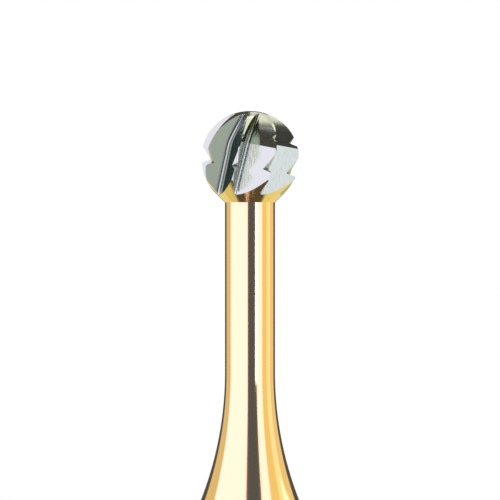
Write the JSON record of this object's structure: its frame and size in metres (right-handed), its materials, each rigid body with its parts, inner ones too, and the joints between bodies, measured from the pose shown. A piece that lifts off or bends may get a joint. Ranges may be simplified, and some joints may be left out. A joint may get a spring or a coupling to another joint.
{
  "type": "podiatry bur",
  "caption": "Round fluted carbide bur with a chip breaker groove, a slim neck and a hollow flare on a straight handpiece shank.",
  "frame": {"origin": "centre of the shank's back end face", "axes": "+Z along the bur's axis, from the shank's back end towards the tip of the cutting head"},
  "size_m": [0.0024, 0.0024, 0.0445],
  "materials": {
    "ground_carbide": "bright ground",
    "gold_coated_steel": "polished"
  },
  "bodies": {
    "root": {"cutting_head": "ground_carbide", "shank": "gold_coated_steel"}
  },
  "joints": []
}
